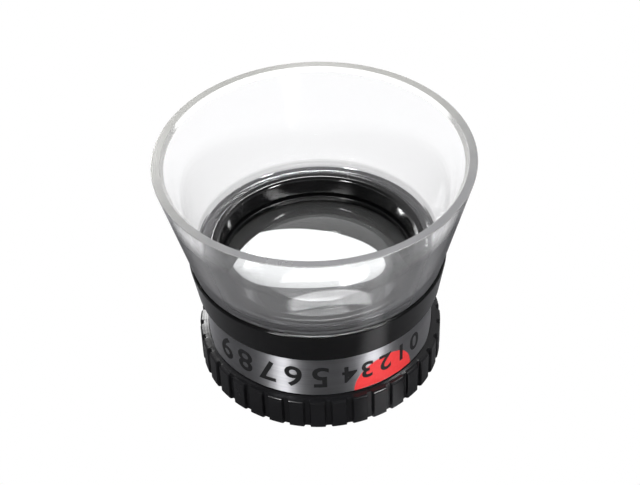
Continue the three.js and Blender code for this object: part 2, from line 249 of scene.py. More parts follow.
white = add_node(tree, "ShaderNodeBackground", {"Color": linear("#ffffff"), "Strength": 1.0}).outputs[0]
low = add_node(tree, "ShaderNodeMapRange", {
    0: ways["Z"], 1: HORIZON, 2: HORIZON_FADE, 3: 1.0, 4: 0.0}).outputs[0]
through = add_node(tree, "ShaderNodeMath", {
    0: low, 1: path["Is Transmission Ray"]}, operation="MULTIPLY").outputs[0]
seen = {0: through, 1: path["Is Camera Ray"]}
in_view = add_node(tree, "ShaderNodeMath", seen, operation="MAXIMUM").outputs[0]
both = add_node(tree, "ShaderNodeMixShader", {0: in_view, 1: lit, 2: white}).outputs[0]
tree.links.new(both, tree.nodes["World Output"].inputs["Surface"])
print("room", FRONT_SHINE, "in front,", BACK_SHINE, "at the back")

# %% [markdown]
# ## Soft boxes
#
# Four soft boxes make the highlights: a long one above the cup, one behind on the left and two in front.
# A real soft box is brightest in its middle, so each lamp fades towards its edges, and its power is
# raised to make up for that. Area lamps could also be white planes that shine, but a lamp is sampled
# better and leaves no piece in the scene.

# %% Four soft boxes
SOFT_BOXES = {  # place, sides in mm, turn in degrees, watts
    "soft_box_above": ((25, 44, 260), (240, 50), 8, 0.95),
    "soft_box_back_left": ((-126, 228, 165), (150, 110), 0, 0.5),
    "soft_box_front_right": ((180, -160, 190), (70, 70), 228.37, 0.6),
    "soft_box_front_left": ((-144, -199, 172), (70, 70), 0, 0.6),
}
BOX_AIM = Vector((0, 0, 12))
BOX_EDGE = 0.5
BOX_FALL_OFF = 0.35


def soften(lamp):
    lamp.use_nodes = True
    tree = lamp.node_tree
    spot = add_node(tree, "ShaderNodeNewGeometry").outputs["Parametric"]
    split = add_node(tree, "ShaderNodeSeparateXYZ", {0: spot}).outputs
    sides = []
    for axis in ("X", "Y"):
        off = add_node(tree, "ShaderNodeMath", {0: split[axis], 1: BOX_EDGE}, operation="SUBTRACT").outputs[0]
        away = add_node(tree, "ShaderNodeMath", {0: off}, operation="ABSOLUTE").outputs[0]
        side = {0: away, 1: BOX_EDGE - BOX_FALL_OFF, 2: BOX_EDGE, 3: 1.0, 4: 0.0}
        sides.append(add_node(tree, "ShaderNodeMapRange", side, interpolation_type="SMOOTHSTEP").outputs[0])
    fade = add_node(tree, "ShaderNodeMath", {0: sides[0], 1: sides[1]}, operation="MULTIPLY").outputs[0]
    tree.links.new(fade, tree.nodes["Emission"].inputs["Strength"])


for name, (place, sides, turn_degrees, watts) in SOFT_BOXES.items():
    lamp = bpy.data.lights.new(name, "AREA")
    lamp.shape = "RECTANGLE"
    lamp.energy = watts / (1 - BOX_FALL_OFF) ** 2
    lamp.size, lamp.size_y = (side * MM for side in sides)
    soften(lamp)
    box = bpy.data.objects.new(name, lamp)
    scene.collection.objects.link(box)
    box.location = Vector(place) * MM
    aim = (BOX_AIM * MM - box.location).normalized()
    turned = math.radians(turn_degrees)
    across = Vector((math.cos(turned), math.sin(turned), 0))
    across = (across - aim * across.dot(aim)).normalized()
    box.rotation_euler = Matrix((across, (-aim).cross(across), -aim)).transposed().to_euler()
print(len(SOFT_BOXES), "soft boxes")

# %% [markdown]
# ## Black moulded plastic
#
# Barrel, clamping ring and ribbed ring are injection-moulded ABS. The mould was polished, so the skin is
# glossy, but never quite even: it has a faint orange peel about a millimetre wide, and cloudy wear some
# three millimetres wide. Bump carries the first, roughness the second. The colour is a near-black that
# varies a little. There are three of them, because the pieces lead different lives: the barrel is
# wiped now and then, the clamping ring inside the cup is never touched and stays glossiest, and the
# ribbed ring is gripped every day, which makes it paler and duller.

# %% Black ABS
CLOUD_SCALE = 0.35  # clouds per mm
CLOUD_LOW, CLOUD_HIGH = 0.35, 0.7
PEEL_SCALE = 1.1  # bumps per mm


def moulded_black(name, dark, light, shine, gloss, haze, peel_depth):
    material, tree, shader = start_material(name, Specular_IOR_Level=shine)
    point = place_mm(tree)["point"]
    cloud = add_node(tree, "ShaderNodeTexNoise", {
        "Vector": point, "Scale": CLOUD_SCALE, "Detail": 5}).outputs["Fac"]
    tone = add_node(tree, "ShaderNodeMix", {0: cloud, 6: linear(dark), 7: linear(light)}, data_type="RGBA")
    tree.links.new(tone.outputs[2], shader.inputs["Base Color"])
    wear = add_node(tree, "ShaderNodeMapRange", {0: cloud, 1: CLOUD_LOW, 2: CLOUD_HIGH, 3: gloss, 4: haze})
    tree.links.new(wear.outputs[0], shader.inputs["Roughness"])
    peel = add_node(tree, "ShaderNodeTexNoise", {
        "Vector": point, "Scale": PEEL_SCALE, "Detail": 2}).outputs["Fac"]
    bump = add_node(tree, "ShaderNodeBump", {"Height": peel, "Distance": peel_depth * MM})
    tree.links.new(bump.outputs[0], shader.inputs["Normal"])
    return material


black_abs = moulded_black(
    "black_ABS_polished_mould", "#060606", "#0c0c0d", shine=0.28, gloss=0.1, haze=0.2, peel_depth=0.008)
black_abs_new = moulded_black(
    "black_ABS_untouched", "#060606", "#0b0b0c", shine=0.6, gloss=0.06, haze=0.12, peel_depth=0.004)
black_abs_handled = moulded_black(
    "black_ABS_handled", "#101011", "#1a1a1c", shine=0.33, gloss=0.16, haze=0.28, peel_depth=0.012)
print(black_abs.name, black_abs_new.name, black_abs_handled.name)

# %% [markdown]
# ## Clear acrylic
#
# The cup is moulded acrylic. Its walls are polished and show the white table, with slow waves of the
# moulding that bend the reflections. The flat rim was turned off on a lathe, so it is a little frosted
# and carries fine rings. Those are about 0.05 mm apart on the real rim and are drawn 0.2 mm apart here,
# or they wouldn't show. The bevel inside the rim was turned with a finer cut and is clearer. The rim's
# frost carries painted light: it is paler towards the back left, where the light falls, in patches.

# %% Acrylic from the lathe
WAVE_SCALE = 0.22  # waves per mm
RING_PITCH = 0.2
# Painted light on the rim: the way towards the lit back left, and the size and spread of its random patches.
RIM_LIGHT_WAY = (-0.35, 0.9, 0.0)
RIM_PATCH_SCALE = 0.6  # patches per mm
RIM_PATCH_SPREAD = 12.0
RIM_LIGHT_START, RIM_LIGHT_END = -10.0, 17.0


def clear_acrylic(name, tint, clear, gloss, haze, wave_depth, ring_depth=None):
    material, tree, shader = start_material(
        name, Base_Color=linear(tint), IOR=1.49, Transmission_Weight=clear)
    place = place_mm(tree)
    wave = add_node(tree, "ShaderNodeTexNoise", {
        "Vector": place["point"], "Scale": WAVE_SCALE, "Detail": 3}).outputs["Fac"]
    rough = add_node(tree, "ShaderNodeMapRange", {0: wave, 1: CLOUD_LOW, 2: CLOUD_HIGH, 3: gloss, 4: haze})
    tree.links.new(rough.outputs[0], shader.inputs["Roughness"])
    slow = add_node(tree, "ShaderNodeBump", {"Height": wave, "Distance": wave_depth * MM})
    tree.links.new(slow.outputs[0], shader.inputs["Normal"])
    if ring_depth:
        turns = add_node(tree, "ShaderNodeMath", {
            0: place["radius"], 1: 2 * math.pi / RING_PITCH}, operation="MULTIPLY")
        rings = add_node(tree, "ShaderNodeMath", {0: turns.outputs[0]}, operation="SINE").outputs[0]
        fine = add_node(tree, "ShaderNodeBump", {"Height": rings, "Distance": ring_depth * MM})
        tree.links.new(fine.outputs[0], slow.inputs["Normal"])
    return material, tree, shader


acrylic_bevel, tree, shader = clear_acrylic(
    "acrylic_turned_bevel", "#f0f0ee", clear=0.72, gloss=0.1, haze=0.2, wave_depth=0.005, ring_depth=0.001)
acrylic_rim, tree, shader = clear_acrylic(
    "acrylic_turned_rim", "#ffffff", clear=0.45, gloss=0.16, haze=0.3, wave_depth=0.01, ring_depth=0.003)
point = place_mm(tree)["point"]
# Painted light: the frost is paler towards the back left, where the light behind falls on the rim, broken
# into random patches.
side = add_node(tree, "ShaderNodeVectorMath", {
    0: point, 1: RIM_LIGHT_WAY}, operation="DOT_PRODUCT").outputs["Value"]
patches = add_node(tree, "ShaderNodeTexNoise", {
    "Vector": point, "Scale": RIM_PATCH_SCALE, "Detail": 4}).outputs["Fac"]
lit_patches = add_node(tree, "ShaderNodeMath", {
    0: patches, 1: RIM_PATCH_SPREAD, 2: side}, operation="MULTIPLY_ADD").outputs[0]
rim_light = add_node(tree, "ShaderNodeMapRange", {
    0: lit_patches, 1: RIM_LIGHT_START, 2: RIM_LIGHT_END}, interpolation_type="SMOOTHSTEP").outputs[0]
tone = add_node(tree, "ShaderNodeMix", {
    0: rim_light, 6: linear("#78787a"), 7: linear("#9c9c99")}, data_type="RGBA")
tree.links.new(tone.outputs[2], shader.inputs["Base Color"])
print(acrylic_bevel.name, acrylic_rim.name)

# %% [markdown]
# ## Film on the moulded wall
#
# Clear plastic that is handled is never quite clear. The outside of the cup has a thin grey film of
# fingerprints that shows where the wall is seen at a slant, and hardly just under the rim, which is wiped
# on every use. Dust lies in the corner where the wall meets the floor, on both sides. The film is matt
# and hides what is behind it, so a diffuse shader is mixed over the acrylic. Layer Weight gives the
# slant. A ray that leaves the plastic through the outside meets no film, so the far wall stays clean.

# %% Acrylic from the mould
WALL_SHINE = 0.35
FILM_START, FILM_END = 0.4, 0.75
FILM_TOP, FILM_FOOT = 27.0, 24.0
FILM_TOP_SHARE, FILM_FOOT_SHARE = 0.1, 0.84
CORNER_TOP, CORNER_FOOT = 16.5, 16.1
CORNER_SHARE = 0.3


def moulded_acrylic(name, handled):
    material, tree, shader = clear_acrylic(
        name, "#fdfdfe", clear=0.985, gloss=0.0, haze=0.012, wave_depth=0.003)
    shader.inputs["Specular IOR Level"].default_value = WALL_SHINE
    height = place_mm(tree)["height"]
    dust = {0: height, 1: CORNER_TOP, 2: CORNER_FOOT, 3: 0.0, 4: CORNER_SHARE}
    film = add_node(tree, "ShaderNodeMapRange", dust).outputs[0]
    if handled:
        prints = {0: height, 1: FILM_TOP, 2: FILM_FOOT, 3: FILM_TOP_SHARE, 4: FILM_FOOT_SHARE}
        low = add_node(tree, "ShaderNodeMapRange", prints).outputs[0]
        slant = add_node(tree, "ShaderNodeLayerWeight").outputs["Facing"]
        slanted = add_node(tree, "ShaderNodeMapRange", {0: slant, 1: FILM_START, 2: FILM_END}).outputs[0]
        leaving = add_node(tree, "ShaderNodeNewGeometry").outputs["Backfacing"]
        meeting = add_node(tree, "ShaderNodeMath", {0: 1.0, 1: leaving}, operation="SUBTRACT").outputs[0]
        smears = add_node(tree, "ShaderNodeMath", {0: slanted, 1: low}, operation="MULTIPLY").outputs[0]
        outside = add_node(tree, "ShaderNodeMath", {0: smears, 1: meeting}, operation="MULTIPLY").outputs[0]
        film = add_node(tree, "ShaderNodeMath", {0: outside, 1: film}, operation="MAXIMUM").outputs[0]
    grey = add_node(tree, "ShaderNodeBsdfDiffuse", {"Color": linear("#606062")}).outputs[0]
    mixed = add_node(tree, "ShaderNodeMixShader", {0: film, 1: shader.outputs[0], 2: grey}).outputs[0]
    tree.links.new(mixed, tree.nodes["Material Output"].inputs["Surface"])
    return material


acrylic_wall = moulded_acrylic("acrylic_moulded_clear", handled=False)
acrylic_outside = moulded_acrylic("acrylic_moulded_handled", handled=True)
print(acrylic_wall.name, acrylic_outside.name)

# %% [markdown]
# ## Lens glass
#
# The lenses are crown glass. The faces are polished and hold only a trace of dust. The lower lens is
# coated, so its faces mirror the room less, and no second set of highlights shows through the upper one.
# The edge is ground with coarse grit, which leaves it matt and grey, so each lens has two materials. The
# grains of the grit are drawn an eighth of a millimetre wide, or they wouldn't show. One noise gives them
# their two tones and their height. Ink, paint and rubber have a grain of that kind too, so `grainy` makes
# them all. It sets one roughness for the whole surface, and the noise changes that only where a second
# value, `haze`, is given.

# %% Polished and coated faces
DUST_SCALE = 2.2  # specks per mm
DUST_LOW, DUST_HIGH = 0.62, 0.75
DUST_HAZE = 0.04


def polished_glass(name, clear, mirror):
    material, tree, shader = start_material(
        name, Base_Color=linear("#fdfefe"), IOR=1.517, Transmission_Weight=clear,
        Specular_Tint=linear(mirror))
    point = place_mm(tree)["point"]
    specks = add_node(tree, "ShaderNodeTexNoise", {
        "Vector": point, "Scale": DUST_SCALE, "Detail": 6}).outputs["Fac"]
    dust = add_node(tree, "ShaderNodeMapRange", {0: specks, 1: DUST_LOW, 2: DUST_HIGH, 3: 0.0, 4: DUST_HAZE})
    tree.links.new(dust.outputs[0], shader.inputs["Roughness"])
    return material


crown_glass = polished_glass("crown_glass_polished", clear=0.985, mirror="#ffffff")
coated_glass = polished_glass("crown_glass_coated", clear=1.0, mirror="#5a5a5a")
print(crown_glass.name, coated_glass.name)

# %% Ground edge
GRAIN_LOW, GRAIN_HIGH = 0.3, 0.7


def grainy(name, dark, light, grain_scale, detail, grain_depth, gloss, shine, haze=None):
    material, tree, shader = start_material(name, Roughness=gloss, Specular_IOR_Level=shine)
    point = place_mm(tree)["point"]
    grain = add_node(tree, "ShaderNodeTexNoise", {
        "Vector": point, "Scale": grain_scale, "Detail": detail}).outputs["Fac"]
    tone = add_node(tree, "ShaderNodeMix", {0: grain, 6: linear(dark), 7: linear(light)}, data_type="RGBA")
    tree.links.new(tone.outputs[2], shader.inputs["Base Color"])
    bump = add_node(tree, "ShaderNodeBump", {"Height": grain, "Distance": grain_depth * MM})
    tree.links.new(bump.outputs[0], shader.inputs["Normal"])
    if haze:
        rough = add_node(tree, "ShaderNodeMapRange", {
            0: grain, 1: GRAIN_LOW, 2: GRAIN_HIGH, 3: gloss, 4: haze})
        tree.links.new(rough.outputs[0], shader.inputs["Roughness"])
    return material


ground_glass = grainy("crown_glass_ground_edge", "#2a2c2c", "#4c4f4f", grain_scale=8.0, detail=4,
                      grain_depth=0.02, gloss=0.8, shine=0.5)
print(ground_glass.name)

# %% [markdown]
# ## Silver foil and inks
#
# The label is aluminium foil, brushed along its length. Brushing spreads a reflection across the lines,
# so a lamp shows as an upright bright band on the round neck. Anisotropy with a tangent round the axis
# does that, and stretched noise draws the lines, 0.15 mm wide so that they show. The print is screen ink,
# black and red, slightly raised and matt.

# %% Foil and inks
BRUSH_STRETCH = (1.2, 1.0, 6.5)  # per radian round the axis, unused, lines per mm of height
BRUSH_DEPTH = 0.006

foil, tree, shader = start_material(
    "aluminium_foil_brushed", Metallic=1.0, Anisotropic=1.0, Anisotropic_Rotation=0.25)
place = place_mm(tree)
along = add_node(tree, "ShaderNodeCombineXYZ", {0: place["angle"], 2: place["height"]}).outputs[0]
stretch = add_node(tree, "ShaderNodeVectorMath", {
    0: along, 1: BRUSH_STRETCH}, operation="MULTIPLY").outputs[0]
brush = add_node(tree, "ShaderNodeTexNoise", {"Vector": stretch, "Scale": 1.0, "Detail": 4}).outputs["Fac"]
tone = add_node(tree, "ShaderNodeMix", {
    0: brush, 6: linear("#88888b"), 7: linear("#b4b4b7")}, data_type="RGBA")
tree.links.new(tone.outputs[2], shader.inputs["Base Color"])
rough = add_node(tree, "ShaderNodeMapRange", {0: brush, 1: GRAIN_LOW, 2: GRAIN_HIGH, 3: 0.44, 4: 0.52})
tree.links.new(rough.outputs[0], shader.inputs["Roughness"])
bump = add_node(tree, "ShaderNodeBump", {"Height": brush, "Distance": BRUSH_DEPTH * MM})
tree.links.new(bump.outputs[0], shader.inputs["Normal"])
tangent = add_node(tree, "ShaderNodeTangent", direction_type="RADIAL", axis="Z")
tree.links.new(tangent.outputs[0], shader.inputs["Tangent"])


INK = {"grain_scale": 3.0, "detail": 4, "grain_depth": 0.008, "gloss": 0.5, "shine": 0.35}
ink_black = grainy("screen_ink_black", "#0d0d0e", "#1c1c1d", **INK)
ink_red = grainy("screen_ink_red", "#e8302f", "#f2484a", **INK)
print(foil.name, ink_black.name, ink_red.name)

# %% [markdown]
# ## Matt black paint and rubber
#
# The spacer between the lenses is brass with matt black paint, so that no glare reaches the eye. The
# cushion under the lower lens is soft nitrile rubber with the grey bloom that rubber gets with age. Both
# have a grain, fine on the paint and coarser on the rubber, and it makes them unevenly dull.

# %% Paint and rubber
matt_paint = grainy("matt_black_paint", "#0c0c0c", "#161616", grain_scale=6.0, detail=5, grain_depth=0.02,
                    gloss=0.6, haze=0.8, shine=0.3)
nitrile = grainy("nitrile_rubber_black", "#111111", "#222222", grain_scale=2.5, detail=5, grain_depth=0.03,
                 gloss=0.7, haze=0.9, shine=0.3)
print(matt_paint.name, nitrile.name)

# %% [markdown]
# ## Turning a section
#
# Almost every piece here is round, so each starts as its section: a line of corners, given as radius and
# height, some of them rounded. A Geometry Nodes tree sweeps that line round a circle. The spin tool would
# do it too, but the tree keeps the number of segments as an input, and the same tree serves every piece.
# A circle as the rail turns the line's second direction downwards, so the tree flips it first.

# %% Rounded corners and the turning tree
ROUND_STEPS = 6
TREE_MERGE = 0.001


def rounded(corners):
    line = []
    for i, (r, z, *bend) in enumerate(corners):
        corner = Vector((r, z))
        if not bend:
            line.append(corner)
            continue
        before, after = Vector(corners[i - 1][:2]), Vector(corners[(i + 1) % len(corners)][:2])
        start = corner + (before - corner).normalized() * bend[0]
        end = corner + (after - corner).normalized() * bend[0]
        for step in range(ROUND_STEPS + 1):
            t = step / ROUND_STEPS
            line.append((1 - t) ** 2 * start + 2 * t * (1 - t) * corner + t * t * end)
    return line


def new_tree(name, inputs):
    tree = bpy.data.node_groups.new(name, "GeometryNodeTree")
    tree.interface.new_socket("Geometry", in_out="INPUT", socket_type="NodeSocketGeometry")
    for socket, kind in inputs.items():
        tree.interface.new_socket(socket, in_out="INPUT", socket_type=kind)
    tree.interface.new_socket("Geometry", in_out="OUTPUT", socket_type="NodeSocketGeometry")
    return tree, add_node(tree, "NodeGroupInput").outputs


def end_tree(tree, geometry, material):
    real = add_node(tree, "GeometryNodeRealizeInstances", {0: geometry}).outputs[0]
    merged = add_node(tree, "GeometryNodeMergeByDistance", {
        "Geometry": real, "Distance": TREE_MERGE * MM}).outputs[0]
    painted = add_node(tree, "GeometryNodeSetMaterial", {"Geometry": merged, "Material": material}).outputs[0]
    add_node(tree, "NodeGroupOutput", {0: painted})


turning, entry = new_tree("turn_a_section", {
    "Segments": "NodeSocketInt", "Rail Radius": "NodeSocketFloat", "Material": "NodeSocketMaterial"})
inward = add_node(turning, "ShaderNodeMath", {
    0: entry["Rail Radius"], 1: -1.0}, operation="MULTIPLY").outputs[0]
shift = add_node(turning, "ShaderNodeCombineXYZ", {0: inward}).outputs[0]
section = add_node(turning, "GeometryNodeTransform", {
    "Geometry": entry["Geometry"], "Translation": shift, "Scale": (1, -1, 1)}).outputs[0]
profile = add_node(turning, "GeometryNodeMeshToCurve", {0: section}).outputs[0]
rail = add_node(turning, "GeometryNodeCurvePrimitiveCircle", {
    "Resolution": entry["Segments"], "Radius": entry["Rail Radius"]}).outputs[0]
upright = add_node(turning, "GeometryNodeSetCurveNormal", {0: rail}, mode="Z_UP").outputs[0]
swept = add_node(turning, "GeometryNodeCurveToMesh", {"Curve": upright, "Profile Curve": profile}).outputs[0]
end_tree(turning, swept, entry["Material"])
print("tree", turning.name, "has", len(turning.nodes), "nodes")

# %% [markdown]
# ## From a tree to a plain mesh
#
# `plain_mesh` asks Blender for the mesh that an object ends as. `grow` runs a tree on a seed object, keeps
# that mesh and throws the seed away. `outward` merges its doubles and points its faces outwards. `show`
# shades it smooth, with sharp edges where two faces meet at an angle. Smooth shading bends the light over
# a whole face, so `guarded` puts two extra rings near the ends of every long face: the bend then stays in
# the small rounds. `turn` does all of that for one section, and `seat` hangs the finished piece on what it
# rides with and hides the measured nodes that it stands for.

# %% Plain meshes
GUARD = 0.05
LEAST_GUARDED = 0.3
MESH_MERGE = 0.0005


def outward(mesh):
    shape = bmesh.new()
    shape.from_mesh(mesh)
    bmesh.ops.remove_doubles(shape, verts=shape.verts, dist=MESH_MERGE * MM)
    bmesh.ops.recalc_face_normals(shape, faces=shape.faces)
    if shape.calc_volume(signed=True) < 0:
        bmesh.ops.reverse_faces(shape, faces=shape.faces)
    shape.to_mesh(mesh)
    shape.free()


def plain_mesh(holder):
    scene.collection.objects.link(holder)
    bpy.context.view_layer.update()
    graph = bpy.context.evaluated_depsgraph_get()
    return bpy.data.meshes.new_from_object(holder.evaluated_get(graph), depsgraph=graph)


def grow(name, tree, values, base=None):
    seed = bpy.data.objects.new(name + "_seed", base or bpy.data.meshes.new(name + "_seed"))
    modifier = seed.modifiers.new("tree", "NODES")
    modifier.node_group = tree
    for item in tree.interface.items_tree:
        if item.in_out == "INPUT" and item.name in values:
            modifier[item.identifier] = values[item.name]
    mesh = plain_mesh(seed)
    seed.modifiers.remove(modifier)
    bpy.data.objects.remove(seed)
    mesh.name = name
    outward(mesh)
    return mesh


def show(name, mesh, sharp_degrees=30):
    mesh.shade_smooth()
    mesh.set_sharp_from_angle(angle=math.radians(sharp_degrees))
    piece = bpy.data.objects.new(name, mesh)
    scene.collection.objects.link(piece)
    return piece


def guarded(line, closed):
    pairs = list(zip(line, line[1:] + line[:1]))
    held = []
    for start, end in pairs if closed else pairs[:-1]:
        run = end - start
        held.append(start)
        if run.length > LEAST_GUARDED:
            held += [start + run.normalized() * GUARD, end - run.normalized() * GUARD]
    return held if closed else held + [line[-1]]


def turn(name, line, material, closed=True, segments=256):
    line = guarded(line, closed)
    points = [(r * MM, z * MM, 0) for r, z in line]
    count = len(points)
    edges = [(i, (i + 1) % count) for i in range(count if closed else count - 1)]
    base = bpy.data.meshes.new(name + "_section")
    base.from_pydata(points, edges, [])
    widest = max(r for r, z in line)
    values = {"Segments": segments, "Rail Radius": widest * MM / 2, "Material": material}
    mesh = grow(name, turning, values, base)
    print(name, "turned:", len(mesh.vertices), "points, widest", round(widest, 2), "mm")
    return show(name, mesh)


def seat(piece, body, slot, *nodes):
    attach(piece, body)
    if nodes:
        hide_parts(*nodes)


# %% [markdown]
# ## Sizes that the pieces share
#
# All are in millimetres. The lenses set most of the others, as on the real loupe: the barrel's bore is the
# lens and its clearance, and the heights stack up from the floor of the ribbed ring. The measured boxes
# give the heights of the big pieces. A corner is rounded by one of three amounts, unless it has its own.

# %% Shared sizes
LENS_RADIUS = 12.0
BORE_RADIUS = 12.1
UPPER_BORE_RADIUS = 12.0
LIP_RADIUS = 11.0
LIP_HEIGHT = 0.6
SOCKET_DEPTH = 1.8
NECK_RADIUS = 13.35
COLLAR_HEIGHT = 4.35
CUP_SPIGOT_RADIUS = 13.0
CUP_FLOOR_HEIGHT = 0.45
CUP_RECESS_DEPTH = 0.33
THREAD_PITCH = 0.75
SEAT_GAP = 0.1
FINE_ROUND, SMALL_ROUND, WIDE_ROUND = 0.05, 0.1, 0.2

RING_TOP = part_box("knurled_ring")[1].z / MM
BARREL_FOOT, BARREL_TOP = (corner.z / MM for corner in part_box("barrel"))
CUP_FOOT, CUP_RIM = (corner.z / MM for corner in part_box("eye_cup"))
CUP_RIM_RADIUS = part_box("eye_cup")[1].x / MM
NECK_FOOT = RING_TOP + SEAT_GAP
COLLAR_FOOT = BARREL_TOP - COLLAR_HEIGHT
CUP_BASE = BARREL_TOP + SEAT_GAP
CUP_FLOOR = CUP_BASE + CUP_FLOOR_HEIGHT
CUP_RECESS = CUP_FLOOR - CUP_RECESS_DEPTH
LIP_TOP = BARREL_TOP - SOCKET_DEPTH
LIP_FOOT = LIP_TOP - LIP_HEIGHT
print("barrel", round(BARREL_FOOT, 2), "to", round(BARREL_TOP, 2), "mm high")
print("cup rim", round(CUP_RIM, 2), "mm high,", round(CUP_RIM_RADIUS, 2), "mm in radius")

# %% [markdown]
# ## Eye cup
#
# The cup is a cone with walls a little over a millimetre thick. Its rim is flat with a bevel on the inside,
# where the two edges catch the light as a pair of fine lines. At the foot it has a floor with a recess for
# the clamping ring and a spigot that drops into the barrel. Each face gets the material of how it was
# made, by where it lies and which way it looks: rim, bevel, handled outside, and moulded wall elsewhere.

# %% Eye cup
CUP_FOOT_RADIUS = 14.6
CUP_FLOOR_RADIUS = 13.4
CUP_FLOOR_ROUND = 0.9
CUP_RECESS_RADIUS = 12.45
RIM_FLAT = 0.95
RIM_WALL = 1.35
RIM_BEVEL_DEPTH = 0.5
RIM_BEVEL_ROUND = 0.08
RIM_EASE = 0.03
LOOKS_UP, LOOKS_STRAIGHT_UP = 0.2, 0.8
RIM_SLOT, BEVEL_SLOT, OUTSIDE_SLOT = 1, 2, 3

cup_section = rounded([
    (UPPER_BORE_RADIUS, CUP_FOOT),
    (CUP_SPIGOT_RADIUS, CUP_FOOT),
    (CUP_SPIGOT_RADIUS, CUP_BASE),
    (CUP_FOOT_RADIUS, CUP_BASE, WIDE_ROUND),
    (CUP_RIM_RADIUS, CUP_RIM, SMALL_ROUND),
    (CUP_RIM_RADIUS - RIM_FLAT, CUP_RIM, FINE_ROUND),
    (CUP_RIM_RADIUS - RIM_WALL, CUP_RIM - RIM_BEVEL_DEPTH, RIM_BEVEL_ROUND),
    (CUP_FLOOR_RADIUS, CUP_FLOOR, CUP_FLOOR_ROUND),
    (CUP_RECESS_RADIUS, CUP_FLOOR),
    (CUP_RECESS_RADIUS, CUP_RECESS),
    (UPPER_BORE_RADIUS, CUP_RECESS),
])
cup = turn("cup_shell", cup_section, acrylic_wall, segments=320)
for material in (acrylic_rim, acrylic_bevel, acrylic_outside):
    cup.data.materials.append(material)
rim_low = CUP_RIM - RIM_BEVEL_DEPTH - RIM_EASE
outside_from = CUP_FOOT_RADIUS - SMALL_ROUND
rim_count = 0
for face in cup.data.polygons:
    out = math.hypot(face.center.x, face.center.y)
    if face.center.z > rim_low * MM and face.normal.z > LOOKS_UP:
        face.material_index = RIM_SLOT if face.normal.z > LOOKS_STRAIGHT_UP else BEVEL_SLOT
        rim_count += 1
    elif face.normal.z < 0 and out > outside_from * MM:
        face.material_index = OUTSIDE_SLOT
seat(cup, "housing", "clear_acrylic", "eye_cup")
print("rim and bevel faces", rim_count)

# %% [markdown]
# ## Barrel and clamping ring
#
# The barrel flares into a collar under the cup. Its corners have small rounds, because a moulded edge is
# never sharp and a bright line runs along it. Inside, a lip stops the upper lens. The clamping ring screws
# into the top and holds the cup's floor down.

# %% Barrel
SPIGOT_RADIUS = 12.75
SPIGOT_CHAMFER = 0.15
COLLAR_FOOT_RADIUS = 14.2
COLLAR_TOP_RADIUS = 14.9
COLLAR_TOP_ROUND = 0.25
LIP_ROUND = 0.15
barrel_section = rounded([
    (BORE_RADIUS, BARREL_FOOT),
    (SPIGOT_RADIUS - SPIGOT_CHAMFER, BARREL_FOOT),
    (SPIGOT_RADIUS, BARREL_FOOT + SPIGOT_CHAMFER),
    (SPIGOT_RADIUS, NECK_FOOT, FINE_ROUND),
    (NECK_RADIUS, NECK_FOOT, SMALL_ROUND),
    (NECK_RADIUS, COLLAR_FOOT, SMALL_ROUND),
    (COLLAR_FOOT_RADIUS, COLLAR_FOOT, WIDE_ROUND),
    (COLLAR_TOP_RADIUS, BARREL_TOP, COLLAR_TOP_ROUND),
    (CUP_SPIGOT_RADIUS + SEAT_GAP, BARREL_TOP, FINE_ROUND),
    (CUP_SPIGOT_RADIUS + SEAT_GAP, CUP_FOOT - SEAT_GAP),
    (UPPER_BORE_RADIUS, CUP_FOOT - SEAT_GAP, FINE_ROUND),
    (UPPER_BORE_RADIUS, LIP_TOP),
    (LIP_RADIUS, LIP_TOP, LIP_ROUND),
    (LIP_RADIUS, LIP_FOOT, FINE_ROUND),
    (BORE_RADIUS, LIP_FOOT),
])
barrel = turn("barrel_body", barrel_section, black_abs, segments=320)
seat(barrel, "housing", "black_gloss", "barrel")

# %% Clamping ring
CLAMP_FOOT, CLAMP_TOP = (corner.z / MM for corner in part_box("cup_ring"))
CLAMP_BORE = 11.3
CLAMP_CHAMFER = 0.3
CLAMP_SPIGOT_RADIUS = 11.75
CLAMP_FLANGE_RADIUS = 12.35
CLAMP_INNER_ROUND = 0.12
clamp_section = rounded([
    (CLAMP_BORE + CLAMP_CHAMFER, CLAMP_FOOT),
    (CLAMP_SPIGOT_RADIUS, CLAMP_FOOT),
    (CLAMP_SPIGOT_RADIUS, CUP_RECESS + SEAT_GAP),
    (CLAMP_FLANGE_RADIUS, CUP_RECESS + SEAT_GAP),
    (CLAMP_FLANGE_RADIUS, CLAMP_TOP, WIDE_ROUND),
    (CLAMP_BORE + CLAMP_CHAMFER, CLAMP_TOP, CLAMP_INNER_ROUND),
    (CLAMP_BORE, CLAMP_TOP - CLAMP_CHAMFER, SMALL_ROUND),
    (CLAMP_BORE, CLAMP_FOOT + CLAMP_CHAMFER, SMALL_ROUND),
])
clamp = turn("clamping_ring", clamp_section, black_abs_new)
seat(clamp, "housing", "black_gloss", "cup_ring")

# %% [markdown]
# ## Threads
#
# The ribbed ring runs on a thread of 0.75 mm pitch, which shows when it is screwed off. A thread is a small
# profile that follows a helix, so a tree makes it: the spiral curve is the path and a blunt triangle is
# swept along it. The same tree serves both sides of the joint, with the triangle pointing out or in. Each
# thread is sunk a little into the wall that carries it, so that no gap shows under it.

# %% Thread tree
HELIX_STEPS = 96  # for each turn
THREAD_ROOT_SHARE = 0.32
THREAD_CREST_SHARE = 0.08
THREAD_SINK = 0.03

